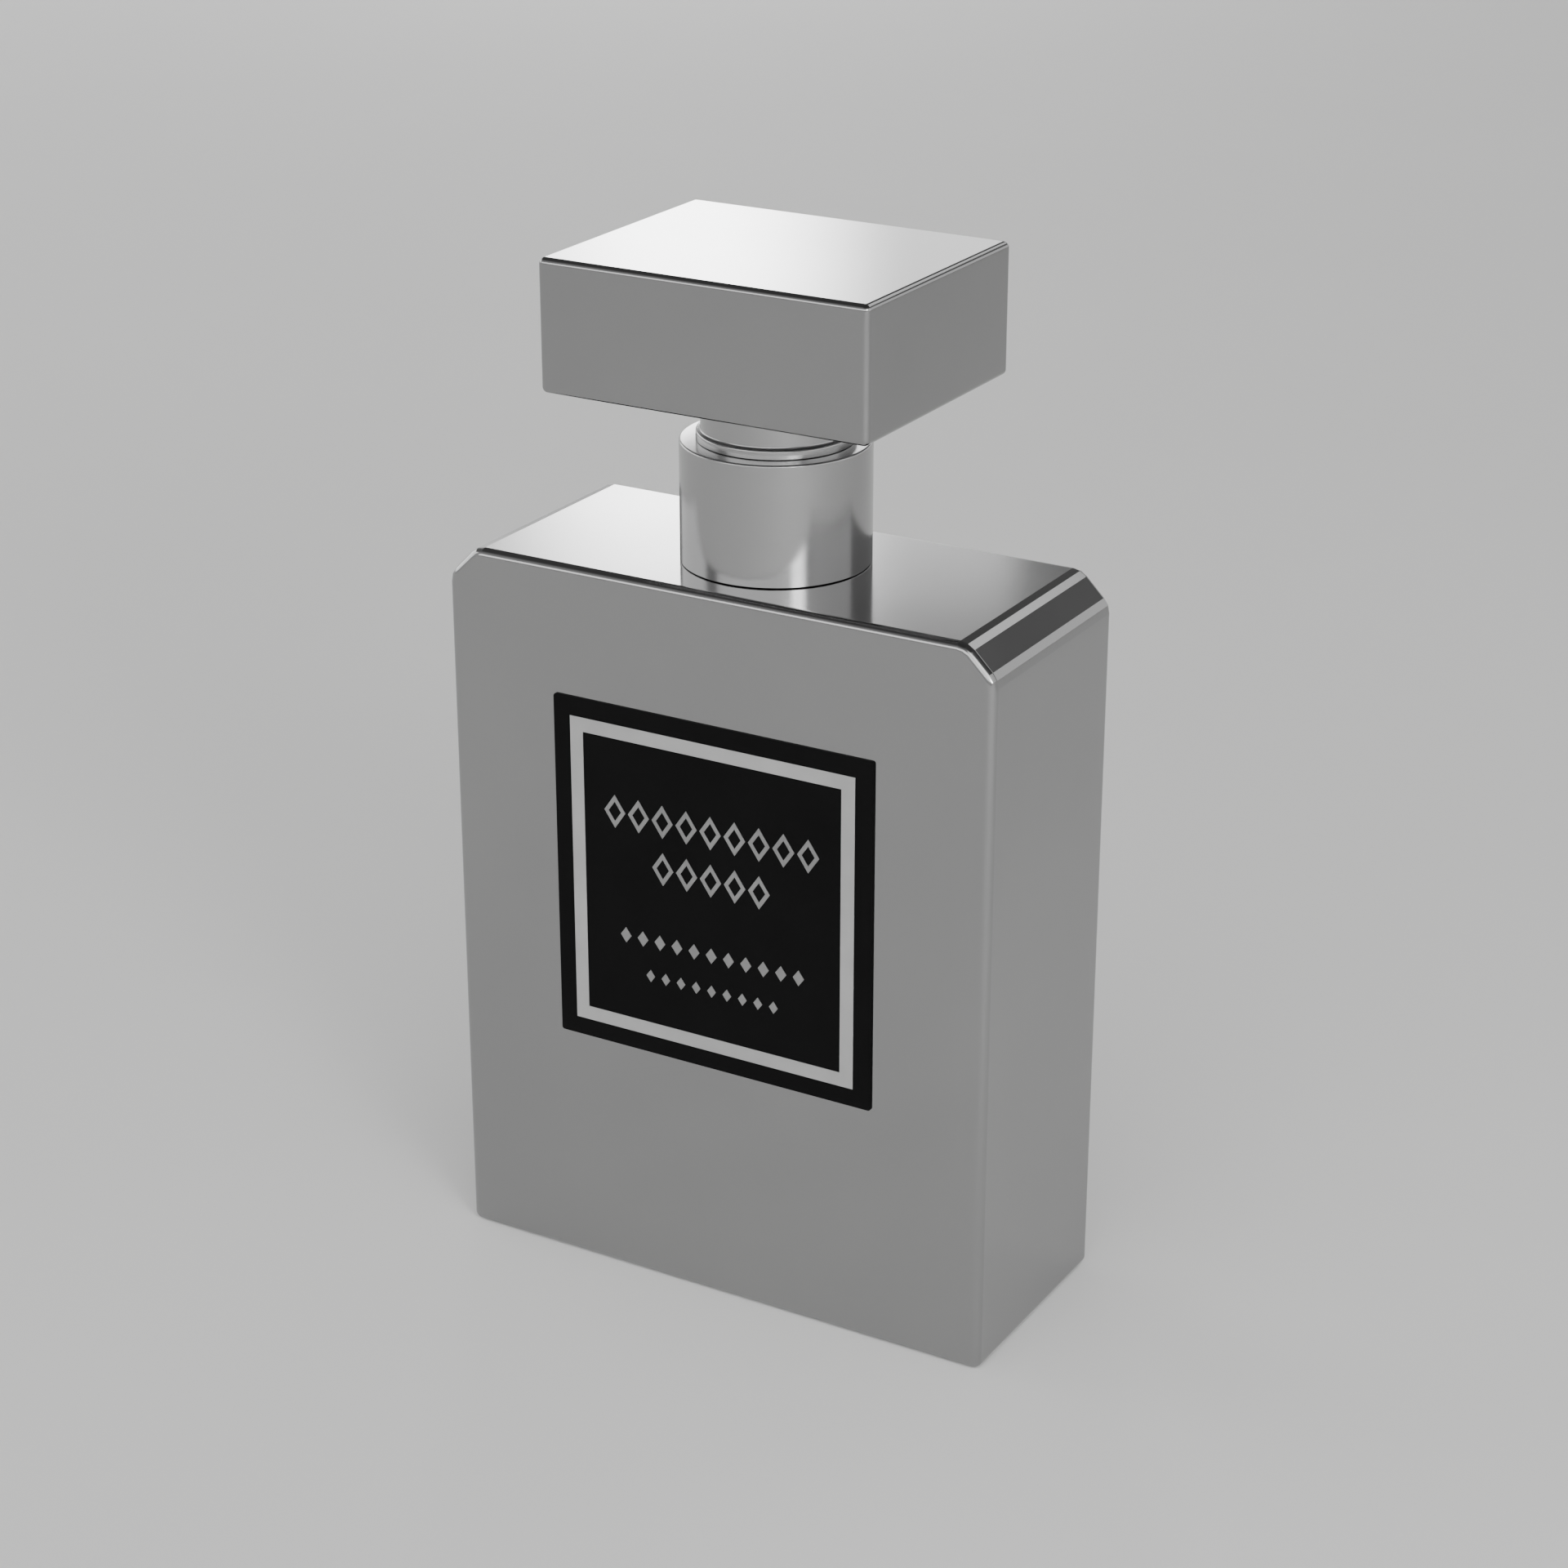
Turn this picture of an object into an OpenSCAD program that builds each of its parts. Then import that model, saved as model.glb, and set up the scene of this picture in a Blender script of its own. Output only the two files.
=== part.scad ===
// Block-shaped fragrance spray bottle with a crimped pump, a stepped collar and a square cap.
// Millimetres, +Z up. The origin is on the ground, on the axis of the neck.
// The front, with the label, faces -Y.

/* [Bottle] */
// Width of the flask
body_w = 71.7; // [59:0.1:86]
// Depth of the flask
body_d = 29.6; // [25:0.1:36]
// Height of the flask up to its shoulder
body_h = 90; // [75:0.5:108]
// Size of the 45 degree cut at each end of the shoulder
corner_cut = 3.7; // [2.5:0.1:6]
// How far the two edges of each cut are eased
cut_ease = 0.55; // [0.3:0.05:0.8]
// Radius of the flask's rounded edges
edge_r = 1.0; // [0.8:0.1:2]
// Thickness of the glass in the walls
glass_wall = 3.5; // [2.5:0.1:4]
// Thickness of the glass under the liquid
glass_base = 8; // [5:0.5:12]
// Thickness of the glass in the shoulder
glass_shoulder = 4; // [3:0.5:5]
// Radius of the corners inside the glass
cavity_r = 3; // [2:0.5:5]
// Depth of the hollow under the base
push_up = 0.8; // [0.4:0.1:1.5]
// Width of the ring that the flask stands on
foot_w = 4.5; // [3:0.5:6]
// Height of the empty space above the liquid
headspace = 8.6; // [6:0.2:20]

/* [Label] */
// Width of the label plate
label_w = 42.6; // [36:0.1:50]
// Height of the label plate
label_h = 43.6; // [36:0.1:50]
// Distance from the shoulder down to the label's upper edge
label_drop = 15.8; // [8:0.1:24]
// Thickness of the label plate
label_t = 0.3; // [0.2:0.05:0.5]
// Gap from the plate's edge to the foil frame
border_inset = 2.3; // [1:0.1:4]
// Width of the foil frame's line
border_w = 1.77; // [0.8:0.01:2.5]
// Thickness of the foil
foil_t = 0.06; // [0.03:0.01:0.1]

// Width of a lozenge in the ornament's upper rows
lozenge_w = 2.9; // [2:0.1:3.2]
// Height of a lozenge in the ornament's upper rows
lozenge_h = 4.2; // [3:0.1:5]
// Width of the line that draws a lozenge
lozenge_line = 0.5; // [0.3:0.05:0.7]

/* [Neck] */
// Gap between the pump barrel and the neck's bore
neck_clear = 0.5; // [0.3:0.05:0.8]
// Wall of the neck
neck_wall = 1.75; // [1.4:0.05:2.2]
// How far the bead stands out from the neck
bead_out = 0.9; // [0.6:0.05:1.1]
// Height of the neck above the shoulder
neck_h = 8.5; // [7:0.1:10.2]
// Height of the bead
bead_h = 3.4; // [2.8:0.1:4.1]

/* [Pump] */
// Thickness of the gasket on the neck
gasket_t = 1; // [0.6:0.1:1.5]
// Thickness of the housing's flange
flange_t = 1; // [0.8:0.1:1.5]
// Thickness of the turret's flange
turret_t = 1; // [0.8:0.1:1.5]
// Inner radius of the pump barrel
barrel_bore_r = 3.2; // [2.9:0.05:3.85]
// Wall of the pump barrel
barrel_wall = 1.05; // [0.8:0.05:1.3]
// Depth of the barrel's bore below the turret
barrel_depth = 17; // [14.1:0.1:20.4]
// Travel of the button
stroke = 4.5; // [3:0.1:5.4]
// Radius of the stem
stem_r = 2; // [1.6:0.05:2.4]
// Radius of the stem's channel
stem_bore_r = 0.6; // [0.4:0.05:0.8]
// Height of the turret's boss
boss_h = 2.3; // [1.5:0.1:2.8]
// Wall of the turret's boss around the stem
boss_wall = 2.45; // [1.2:0.05:2.5]
// Height of the piston
piston_h = 4; // [3:0.1:4.8]
// Radius of the inlet ball
ball_r = 1.25; // [1:0.05:1.5]
// Lift of the inlet ball
ball_lift = 0.8; // [0.4:0.1:1]
// Outer radius of the dip tube
tube_r = 1.35; // [1.1:0.05:1.6]
// Wall of the dip tube
tube_wall = 0.45; // [0.3:0.05:0.6]
// Gap between the tube's end and the glass floor
tube_gap = 1.5; // [1:0.5:4]
// Thickness of the spring's wire
wire_d = 0.45; // [0.35:0.05:0.55]
// Number of turns in the spring
spring_turns = 7; // [5:1:8]
// Wall of the crimped ferrule
ferrule_wall = 0.35; // [0.25:0.05:0.5]

/* [Collar] */
// Outer radius of the collar
collar_r = 11.1; // [9.5:0.05:13.3]
// Height of the collar above the ferrule
collar_rise = 2.6; // [2:0.05:3.5]
// Wall of the collar's shell
collar_wall = 0.45; // [0.3:0.05:0.6]
// Gap between the collar and the shoulder
collar_gap = 0.1; // [0.1:0.05:0.3]
// Rounding of the collar's top edge
collar_round = 0.4; // [0.2:0.05:0.42]
// Rounding of the collar's foot
foot_round = 0.35; // [0.2:0.05:1]
// How far the collar's foot is rolled in
foot_lip = 0.9; // [0.5:0.05:1]
// How far the sleeve's spigot stands out from the ferrule
spigot_out = 0.34; // [0.25:0.01:0.45]
// Wall of the sleeve's spigot
spigot_wall = 0.45; // [0.3:0.05:0.5]
// Wall of the sleeve
sleeve_wall = 0.5; // [0.4:0.05:0.6]
// How far the sleeve's step stands out
step_out = 0.54; // [0.4:0.02:0.6]
// Height of the sleeve's step
step_h = 1.15; // [0.8:0.05:1.4]

/* [Button] */
// Gap between the button and the sleeve's spigot
button_clear = 0.94; // [0.7:0.02:1.2]
// Wall of the button's metal skin
button_wall = 0.35; // [0.25:0.05:0.5]
// Height left under the button when it is pressed
button_rest = 1.45; // [1:0.05:2]
// Gap between the button's top and the ceiling of the cap
button_headroom = 3.1; // [2:0.1:4]
// Radius of the nozzle insert
nozzle_r = 2.1; // [1.8:0.05:2.3]

/* [Cap] */
// Width of the cap
cap_w = 41.8; // [36:0.1:50]
// Depth of the cap
cap_d = 33.2; // [30:0.1:40]
// Height of the cap
cap_h = 15.5; // [13:0.1:18.6]
// Gap between the collar and the cap
cap_gap = 6.25; // [5.2:0.05:7.5]
// Radius of the cap's rounded edges
cap_edge_r = 0.72; // [0.4:0.02:1]
// Side wall of the cap
cap_wall = 1.5; // [1.2:0.1:1.8]
// Top wall of the cap
cap_top = 1.8; // [1.4:0.1:1.8]
// Thickness of the cap's base plate
plate_t = 1.5; // [1:0.1:2]
// Depth that the base plate is set into the cap
plate_inset = 0.5; // [0.3:0.1:1]
// Wall of the cap's socket
socket_wall = 1; // [0.8:0.1:1.4]
// Depth of the cap's socket around the sleeve
socket_grip = 2.05; // [1.7:0.05:2.5]
// Thickness of the steel weight
weight_t = 4; // [2:0.5:6]

/* [Hidden] */
$fn = 96;

// Clearances, each written once
run_gap = 0.05;      // between a part that moves and what guides it
loose_gap = 0.3;     // between parts that only pass each other
film_gap = 0.02;     // between the liquid and what it touches
weight_gap = 0.15;   // round the weight in the cap
eps = 0.01;          // overlap of shapes joined in one part

// Radii, from the pump barrel outwards
barrel_r = barrel_bore_r + barrel_wall;
bore_r = barrel_r + neck_clear;
neck_r = bore_r + neck_wall;
bead_r = neck_r + bead_out;
ferrule_bore_r = bead_r + run_gap;
ferrule_r = ferrule_bore_r + ferrule_wall;
liner_bore_r = ferrule_r + run_gap;
spigot_out_r = ferrule_r + spigot_out;
spigot_in_r = spigot_out_r - spigot_wall;
sleeve_r = spigot_out_r + sleeve_wall;
step_r = sleeve_r + step_out;
shell_bore_r = collar_r - collar_wall;
button_r = spigot_in_r - button_clear;
core_r = button_r - button_wall;
boss_r = stem_r + run_gap + boss_wall;

// Heights, from the ground up
neck_top = body_h + neck_h;
gasket_top = neck_top + gasket_t;
flange_top = gasket_top + flange_t;
turret_top = flange_top + turret_t;
boss_top = turret_top + boss_h;
ferrule_top = turret_top + ferrule_wall;
collar_base = body_h + collar_gap;
collar_top = ferrule_top + collar_rise;
cap_base = collar_top + cap_gap;
plate_base = cap_base + plate_inset;
sleeve_top = plate_base + socket_grip;
cap_ceiling = cap_base + cap_h - cap_top;
button_base = ferrule_top + stroke + button_rest;
button_top = cap_ceiling - button_headroom;
liquid_top = body_h - glass_shoulder - headspace;

// Pump, from the turret down
seal_t = 0.9;
barrel_floor = flange_top - barrel_depth;
seal_base = flange_top - seal_t;
piston_base = seal_base - piston_h;
piston_r = barrel_bore_r - run_gap;
spigot_r = stem_r - 0.5;

// Inlet valve, below the barrel's floor
seat_r = ball_r - 0.35;
cage_lip_r = ball_r - 0.1;
cage_r = ball_r + 0.2;
seat_drop = sqrt(ball_r * ball_r - seat_r * seat_r);
lip_drop = sqrt(ball_r * ball_r - cage_lip_r * cage_lip_r);
cage_lip_h = 0.6;
cage_top = barrel_floor - cage_lip_h;
ball_z = cage_top - lip_drop - ball_lift - film_gap;
seat_z = ball_z - seat_drop;
socket_len = 8;
tube_top = seat_z - 0.8;
tube_base = glass_base + tube_gap;
tail_base = tube_top - socket_len;
tail_r = tube_r + 0.9;

// Crimped ferrule
bead_base = neck_top - bead_h;
lip_t = 0.4;
lip_base = bead_base - lip_t;

// Collar
liner_base = collar_base + collar_wall + run_gap;
shell_web = collar_top - collar_wall;
spigot_base = ferrule_top + run_gap;
catch_h = 1.6;

// Button
core_top = button_top - button_wall;
button_hollow_r = boss_r + 0.6;
button_hollow_h = 4;
stem_grip = 3.5;
stem_top = button_base + button_hollow_h + stem_grip;
nozzle_z = core_top - nozzle_r - 1.4;
nozzle_depth = 2.4;
channel_r = 0.7;
swirl_r = 0.5;
orifice_r = 0.2;

// Cap
plate_top = plate_base + plate_t;
cap_hollow_w = cap_w - 2 * cap_wall;
cap_hollow_d = cap_d - 2 * cap_wall;
cap_slide = 0.06;
socket_r = sleeve_r + cap_slide;
upper_bore_r = button_r + 0.55;
upper_bore_top = button_top + 0.9;
socket_out_r = socket_r + socket_wall;
socket_top = cap_ceiling - 0.1;

// Label
label_face = -body_d / 2;
label_z = body_h - label_drop - label_h / 2;
plate_face = label_face - label_t;
foil_face = plate_face - foil_t;
frame_w = label_w - 2 * border_inset;
frame_h = label_h - 2 * border_inset;

// ---------------------------------------------------------------- shapes

function unit(v) = v / norm(v);
function turned(v) = [v[1], -v[0]];
function around(pts, i) = pts[(i + len(pts)) % len(pts)];

// Corner i of an anticlockwise outline, moved inwards by r on both sides
function inner_corner(pts, i, r) =
    let(
        before = unit(pts[i] - around(pts, i - 1)),
        after = unit(around(pts, i + 1) - pts[i]),
        n0 = turned(before),
        n1 = turned(after)
    )
    pts[i] - r * (n0 + n1) / (1 + n0 * n1);

// Convex outline with every corner rounded by true arcs
module rounded_outline(pts, r) {
    centres = [for (i = [0:len(pts) - 1]) inner_corner(pts, i, r)];
    normals = [for (i = [0:len(pts) - 1]) turned(unit(around(pts, i + 1) - pts[i]))];
    polygon([for (i = [0:len(pts) - 1]) each [
        centres[i] + r * around(normals, i - 1),
        centres[i] + r * normals[i]
    ]]);
    for (c = centres)
        translate(c) circle(r);
}

function box_outline(w, h) = [[-w / 2, -h / 2], [w / 2, -h / 2], [w / 2, h / 2], [-w / 2, h / 2]];

// Block standing on z = 0 with all its edges rounded
module soft_block(w, d, h, r) {
    intersection() {
        translate([0, d / 2, h / 2])
            rotate([90, 0, 0])
                linear_extrude(d)
                    rounded_outline(box_outline(w, h), r);
        linear_extrude(h)
            rounded_outline(box_outline(w, d), r);
        translate([-w / 2, 0, h / 2])
            rotate([90, 0, 90])
                linear_extrude(w)
                    rounded_outline(box_outline(d, h), r);
    }
}

// Soft block with a 45 degree cut at each end of its top; ease takes the sharpness off the cut's edges
module flask_block(w, d, h, cut, r, ease = 0) {
    cut_side = cut * sqrt(2);
    eased = ease > 0 ? [[w / 2 - cut - ease, h, 22.5], [w / 2, h - cut - ease, 67.5]] : [];
    difference() {
        soft_block(w, d, h, r);
        for (side = [-1, 1]) {
            translate([side * w / 2, 0, h])
                rotate([0, 45, 0])
                    cube([cut_side, d + 2, cut_side], center = true);
            for (edge = eased)
                translate([side * edge[0], 0, edge[1]])
                    rotate([0, side * edge[2], 0])
                        translate([-cut, -d / 2 - 1, 0])
                            cube([2 * cut, d + 2, cut]);
        }
    }
}

// Ring with a square section
module ring(r_out, r_in, z0, z1) {
    translate([0, 0, z0])
        difference() {
            cylinder(r = r_out, h = z1 - z0);
            translate([0, 0, -1]) cylinder(r = r_in, h = z1 - z0 + 2);
        }
}

// Space inside the glass; gap shrinks it evenly
module cavity(gap = 0) {
    translate([0, 0, glass_base + gap])
        flask_block(
            body_w - 2 * glass_wall - 2 * gap,
            body_d - 2 * glass_wall - 2 * gap,
            body_h - glass_base - glass_shoulder - 2 * gap,
            corner_cut,
            cavity_r
        );
}

// ---------------------------------------------------------------- flask

module bottle() {
    bead_slope = bead_r - neck_r;
    color([0.62, 0.62, 0.63])
        difference() {
            union() {
                flask_block(body_w, body_d, body_h, corner_cut, edge_r, cut_ease);
                rotate_extrude()
                    polygon([
                        [0, body_h - glass_shoulder / 2],
                        [neck_r, body_h - glass_shoulder / 2],
                        [neck_r, bead_base],
                        [bead_r, bead_base + bead_slope / 2],
                        [bead_r, neck_top - 0.3],
                        [bead_r - 0.3, neck_top],
                        [0, neck_top]
                    ]);
            }
            cavity();
            translate([0, 0, body_h - glass_shoulder - 1])
                cylinder(r = bore_r, h = glass_shoulder + neck_h + 2);
            translate([0, 0, -1])
                linear_extrude(push_up + 1)
                    rounded_outline(box_outline(body_w - 2 * foot_w, body_d - 2 * foot_w), cavity_r);
        }
}

module fragrance() {
    color([0.86, 0.80, 0.55])
        difference() {
            intersection() {
                cavity(film_gap);
                translate([-body_w / 2, -body_d / 2, 0])
                    cube([body_w, body_d, liquid_top]);
            }
            translate([0, 0, tube_base - film_gap])
                cylinder(r = tube_r + film_gap, h = body_h);
            translate([0, 0, tail_base - film_gap])
                cylinder(r = tail_r + film_gap, h = body_h);
        }
}

module label_plate() {
    color([0.02, 0.02, 0.02])
        translate([0, label_face, label_z])
            rotate([90, 0, 0])
                linear_extrude(label_t)
                    square([label_w, label_h], center = true);
}

module label_border() {
    color([0.62, 0.62, 0.62])
        translate([0, plate_face, label_z])
            rotate([90, 0, 0])
                linear_extrude(foil_t)
                    difference() {
                        square([frame_w, frame_h], center = true);
                        square([frame_w - 2 * border_w, frame_h - 2 * border_w], center = true);
                    }
}

module lozenge(w, h) {
    polygon([[-w / 2, 0], [0, -h / 2], [w / 2, 0], [0, h / 2]]);
}

// Row of equal lozenges, in outline where line is above 0
module lozenge_row(count, pitch, w, h, line) {
    for (i = [0:count - 1])
        translate([(i - (count - 1) / 2) * pitch, 0])
            difference() {
                lozenge(w, h);
                if (line > 0)
                    lozenge(w - 2 * line * norm([w, h]) / h, h - 2 * line * norm([w, h]) / w);
            }
}

// Generic ornament: two rows of open lozenges over two rows of small solid ones
module label_ornament() {
    open_pitch = lozenge_w + 0.35;
    small_w = 1.5;
    small_h = 2;
    color([0.55, 0.55, 0.55])
        translate([0, plate_face, label_z])
            rotate([90, 0, 0])
                linear_extrude(foil_t) {
                    translate([0, 8.6])
                        lozenge_row(9, open_pitch, lozenge_w, lozenge_h, lozenge_line);
                    translate([0, 2.6])
                        lozenge_row(5, open_pitch, lozenge_w, lozenge_h, lozenge_line);
                    translate([0, -7])
                        lozenge_row(11, small_w + 0.85, small_w, small_h, 0);
                    translate([0, -11.6])
                        lozenge_row(9, small_w + 0.6, small_w * 0.8, small_h * 0.8, 0);
                }
}

// ---------------------------------------------------------------- pump

module neck_gasket() {
    color([0.15, 0.15, 0.16])
        ring(bead_r - 0.2, barrel_r + run_gap, neck_top, gasket_top);
}

module pump_housing() {
    color([0.90, 0.90, 0.88])
        rotate_extrude()
            polygon([
                [bead_r, gasket_top],
                [bead_r, flange_top],
                [barrel_bore_r, flange_top],
                [barrel_bore_r, barrel_floor],
                [cage_lip_r, barrel_floor],
                [cage_lip_r, cage_top],
                [cage_r, cage_top],
                [cage_r, seat_z],
                [seat_r, seat_z],
                [seat_r, tube_top],
                [tube_r, tube_top],
                [tube_r, tail_base],
                [tail_r, tail_base],
                [tail_r, barrel_floor - 3],
                [barrel_r, barrel_floor - 1],
                [barrel_r, gasket_top]
            ]);
}

module turret() {
    color([0.93, 0.93, 0.91]) {
        ring(bead_r, stem_r + run_gap, flange_top, turret_top);
        ring(boss_r, stem_r + run_gap, turret_top - eps, boss_top);
    }
}

module stem_seal() {
    color([0.20, 0.20, 0.21])
        ring(barrel_bore_r - film_gap, stem_r + run_gap, seal_base + film_gap, flange_top);
}

// The stem ends in a spigot that carries the piston
module stem() {
    color([0.94, 0.94, 0.92])
        rotate_extrude()
            polygon([
                [stem_bore_r, piston_base + 0.3],
                [spigot_r, piston_base + 0.3],
                [spigot_r, seal_base],
                [stem_r, seal_base],
                [stem_r, stem_top],
                [stem_bore_r, stem_top]
            ]);
}

module piston() {
    waist_r = piston_r - 0.5;
    color([0.86, 0.88, 0.92])
        rotate_extrude()
            polygon([
                [spigot_r, piston_base],
                [piston_r, piston_base],
                [piston_r, piston_base + 0.8],
                [waist_r, piston_base + 1.3],
                [waist_r, seal_base - 1.3],
                [piston_r, seal_base - 0.8],
                [piston_r, seal_base],
                [spigot_r, seal_base]
            ]);
}

// Compression spring drawn as a stack of closed turns with a thin link strip
module main_spring() {
    coil_r = barrel_bore_r - wire_d / 2 - 0.25;
    span = piston_base - barrel_floor - wire_d - 2 * film_gap;
    color([0.70, 0.71, 0.73]) {
        for (i = [0:spring_turns])
            translate([0, 0, barrel_floor + film_gap + wire_d / 2 + span * i / spring_turns])
                rotate_extrude()
                    translate([coil_r, 0]) circle(d = wire_d, $fn = 24);
        translate([coil_r - wire_d / 6, -wire_d / 6, barrel_floor + film_gap + wire_d / 2])
            cube([wire_d / 3, wire_d / 3, span]);
    }
}

module inlet_ball() {
    color([0.75, 0.76, 0.78])
        translate([0, 0, ball_z]) sphere(ball_r);
}

module dip_tube() {
    color([0.88, 0.90, 0.92])
        ring(tube_r, tube_r - tube_wall, tube_base, tube_top);
}

// Aluminium cup rolled in under the neck's bead
module crimp_ferrule() {
    color([0.78, 0.79, 0.80])
        rotate_extrude()
            polygon([
                [neck_r + 0.2, lip_base],
                [ferrule_r, lip_base],
                [ferrule_r, ferrule_top],
                [boss_r + run_gap, ferrule_top],
                [boss_r + run_gap, turret_top],
                [ferrule_bore_r, turret_top],
                [ferrule_bore_r, bead_base],
                [neck_r + 0.2, bead_base]
            ]);
}

// ---------------------------------------------------------------- collar

// Plastic ring that snaps over the ferrule and turns on it
module collar_liner() {
    catch_r = neck_r + loose_gap;
    skirt_wall = 1.4;
    color([0.13, 0.13, 0.14])
        rotate_extrude()
            polygon([
                [catch_r, lip_base - run_gap - catch_h],
                [catch_r, lip_base - run_gap],
                [liner_bore_r, lip_base - run_gap],
                [liner_bore_r, spigot_base],
                [spigot_out_r, spigot_base],
                [spigot_out_r, shell_web],
                [shell_bore_r, shell_web],
                [shell_bore_r, liner_base],
                [shell_bore_r - skirt_wall, liner_base]
            ]);
}

// Drawn aluminium shell: flat top with a hole for the spigot, foot rolled in
module collar_shell() {
    color([0.70, 0.70, 0.71])
        rotate_extrude()
            difference() {
                union() {
                    translate([spigot_out_r, collar_base + foot_round])
                        square([collar_r - spigot_out_r, collar_top - collar_base - foot_round - collar_round]);
                    translate([spigot_out_r, collar_top - collar_round - eps])
                        square([collar_r - collar_round - spigot_out_r, collar_round + eps]);
                    translate([shell_bore_r - foot_lip, collar_base])
                        square([collar_wall + foot_lip - foot_round, foot_round + eps]);
                    translate([collar_r - collar_round, collar_top - collar_round])
                        circle(collar_round);
                    translate([collar_r - foot_round, collar_base + foot_round])
                        circle(foot_round);
                }
                translate([0, collar_base + collar_wall])
                    square([shell_bore_r, shell_web - collar_base - collar_wall]);
            }
}

// Stepped sleeve: its spigot holds the shell and the liner together
module collar_sleeve() {
    step_top = collar_top + step_h;
    lip_in_r = spigot_in_r - 0.6;
    lip_h = 0.4;
    color([0.72, 0.72, 0.73])
        rotate_extrude()
            polygon([
                [lip_in_r, spigot_base],
                [spigot_out_r, spigot_base],
                [spigot_out_r, collar_top],
                [step_r, collar_top],
                [step_r, step_top - 0.3],
                [step_r - 0.3, step_top],
                [sleeve_r, step_top],
                [sleeve_r, sleeve_top],
                [sleeve_r - sleeve_wall, sleeve_top],
                [sleeve_r - sleeve_wall, step_top],
                [spigot_in_r, step_top - spigot_wall],
                [spigot_in_r, spigot_base + lip_h],
                [lip_in_r, spigot_base + lip_h]
            ]);
}

// ---------------------------------------------------------------- button

module actuator_core() {
    color([0.90, 0.90, 0.89])
        difference() {
            translate([0, 0, button_base]) cylinder(r = core_r, h = core_top - button_base);
            translate([0, 0, button_base - 1]) cylinder(r = button_hollow_r, h = button_hollow_h + 1);
            translate([0, 0, button_base]) cylinder(r = stem_r + run_gap, h = stem_top - button_base);
            translate([0, 0, button_base]) cylinder(r = channel_r, h = nozzle_z - button_base);
            translate([0, channel_r / 2, nozzle_z])
                rotate([90, 0, 0]) cylinder(r = swirl_r, h = core_r);
            translate([0, nozzle_depth - button_r, nozzle_z])
                rotate([90, 0, 0]) cylinder(r = nozzle_r, h = nozzle_depth + 1);
        }
}

module actuator_shell() {
    color([0.72, 0.72, 0.73])
        difference() {
            translate([0, 0, button_base]) cylinder(r = button_r, h = button_top - button_base);
            translate([0, 0, button_base - 1]) cylinder(r = core_r, h = core_top - button_base + 1);
            translate([0, 0, nozzle_z])
                rotate([90, 0, 0]) cylinder(r = nozzle_r, h = button_r + 1);
        }
}

module nozzle_insert() {
    face = 0.9;
    color([0.94, 0.94, 0.93])
        translate([0, nozzle_depth - button_r, nozzle_z])
            rotate([90, 0, 0])
                difference() {
                    cylinder(r = nozzle_r, h = nozzle_depth - 0.3);
                    translate([0, 0, -1]) cylinder(r = swirl_r, h = nozzle_depth - face);
                    translate([0, 0, -1]) cylinder(r = orifice_r, h = nozzle_depth + 2);
                }
}

// ---------------------------------------------------------------- cap

module cap_shell() {
    color([0.64, 0.64, 0.65])
        translate([0, 0, cap_base])
            difference() {
                soft_block(cap_w, cap_d, cap_h, cap_edge_r);
                translate([-cap_hollow_w / 2, -cap_hollow_d / 2, -1])
                    cube([cap_hollow_w, cap_hollow_d, cap_h - cap_top + 1]);
            }
}

module cap_insert() {
    color([0.11, 0.11, 0.12])
        difference() {
            union() {
                translate([-cap_hollow_w / 2, -cap_hollow_d / 2, plate_base])
                    cube([cap_hollow_w, cap_hollow_d, plate_t]);
                translate([0, 0, plate_base])
                    cylinder(r = socket_out_r, h = socket_top - plate_base);
            }
            translate([0, 0, plate_base - 1])
                cylinder(r = socket_r, h = sleeve_top - plate_base + 1);
            translate([0, 0, plate_base - 1])
                cylinder(r = upper_bore_r, h = upper_bore_top - plate_base + 1);
        }
}

module cap_weight() {
    color([0.45, 0.46, 0.48])
        translate([0, 0, plate_top])
            difference() {
                translate([-cap_hollow_w / 2 + weight_gap, -cap_hollow_d / 2 + weight_gap, 0])
                    cube([cap_hollow_w - 2 * weight_gap, cap_hollow_d - 2 * weight_gap, weight_t]);
                translate([0, 0, -1]) cylinder(r = socket_out_r + weight_gap, h = weight_t + 2);
            }
}

bottle();
fragrance();
label_plate();
label_border();
label_ornament();
neck_gasket();
pump_housing();
turret();
stem_seal();
stem();
piston();
main_spring();
inlet_ball();
dip_tube();
crimp_ferrule();
collar_liner();
collar_shell();
collar_sleeve();
actuator_core();
actuator_shell();
nozzle_insert();
cap_shell();
cap_insert();
cap_weight();
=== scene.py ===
import bpy
import bmesh
from math import sin, cos, tan, acos, atan2, hypot, pi, radians
from mathutils import Vector, Matrix


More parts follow.
